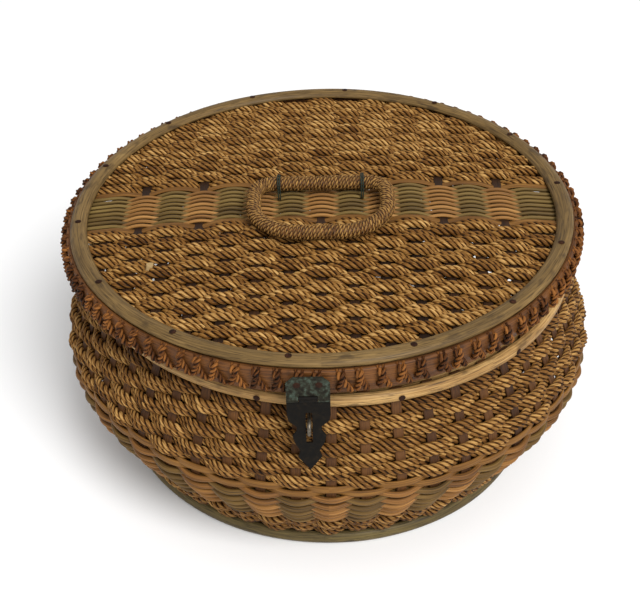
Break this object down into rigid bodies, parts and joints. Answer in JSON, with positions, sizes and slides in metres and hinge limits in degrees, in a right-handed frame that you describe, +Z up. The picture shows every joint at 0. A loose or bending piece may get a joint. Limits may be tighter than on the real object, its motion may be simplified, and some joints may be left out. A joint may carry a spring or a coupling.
{
  "type": "lidded wicker basket",
  "caption": "Round bellied wicker basket with a hinged domed lid, a swinging D grip on the lid and a metal hasp over a staple; woven of cord and reed on upright stakes.",
  "frame": {"origin": "centre of the foot, on the surface it stands on", "axes": "+Z up, hasp at -Y, back hinge at +Y"},
  "size_m": [0.3512, 0.3512, 0.1839],
  "materials": {
    "stake_reed": "dark stained flat reed",
    "seagrass_cord": "twisted seagrass, matte with a slight sheen",
    "tan_reed": "round reed, semi-matte",
    "green_reed": "dyed round reed, semi-matte",
    "flat_reed": "flat reed, semi-matte",
    "hoop_wood": "bent half-round wood, worn varnish",
    "band_wood": "bent wood strip, brown stain",
    "red_cord": "twisted grass cord, red-brown",
    "grip_cord": "fine twisted grass cord, golden tan",
    "dark_cord": "dark green cord",
    "old_brass": "tarnished brass with verdigris",
    "rusty_iron": "rusted iron"
  },
  "bodies": {
    "basket": {"side_stakes": "stake_reed", "foot_hoop": "hoop_wood", "foot_hoop_inner": "hoop_wood", "base_panel": "flat_reed", "lower_cord_border": "seagrass_cord", "reed_band": "tan_reed", "flat_reed_lower_row": "flat_reed", "flat_reed_upper_row": "flat_reed", "upper_cord_weave": "seagrass_cord", "rim_hoop": "hoop_wood", "rim_hoop_inner": "hoop_wood", "rim_nails": "rusty_iron", "hasp_staple": "rusty_iron", "rear_hinge_body_leaf": "old_brass", "rear_hinge_pin": "rusty_iron", "rear_hinge_body_nails": "rusty_iron"},
    "lid": {"lid_ribs": "stake_reed", "lid_cords_front": "seagrass_cord", "lid_cords_back": "seagrass_cord", "lid_reeds_tan": "tan_reed", "lid_reeds_green": "green_reed", "lid_flat_reeds": "flat_reed", "lid_hoop": "hoop_wood", "lid_hoop_nails": "rusty_iron", "lid_rim_band": "band_wood", "lid_seat_hoop": "band_wood", "lid_rim_lashing": "red_cord", "grip_ties": "dark_cord", "hasp_leaf": "old_brass", "hasp_pin": "rusty_iron", "hasp_leaf_nails": "rusty_iron", "rear_hinge_lid_leaf": "old_brass", "rear_hinge_lid_nails": "rusty_iron"},
    "grip": {"grip_core": "hoop_wood", "grip_wrap": "grip_cord"},
    "strap": {"hasp_strap": "old_brass"}
  },
  "joints": [
    {"name": "lid_hinge", "type": "hinge", "parent": "basket", "child": "lid", "pos_m": [0, 0.16115, 0.1394], "axis": [-1, 0, 0], "range_deg": [0, 150]},
    {"name": "grip_hinge", "type": "hinge", "parent": "lid", "child": "grip", "pos_m": [-0.00486, 0.0074, 0.176], "axis": [-0.9997, 0, -0.0262], "range_deg": [0, 179]},
    {"name": "hasp_hinge", "type": "hinge", "parent": "lid", "child": "strap", "pos_m": [-0.01158, -0.16665, 0.14642], "axis": [-0.9997, 0, -0.0262], "range_deg": [0, 140]}
  ]
}
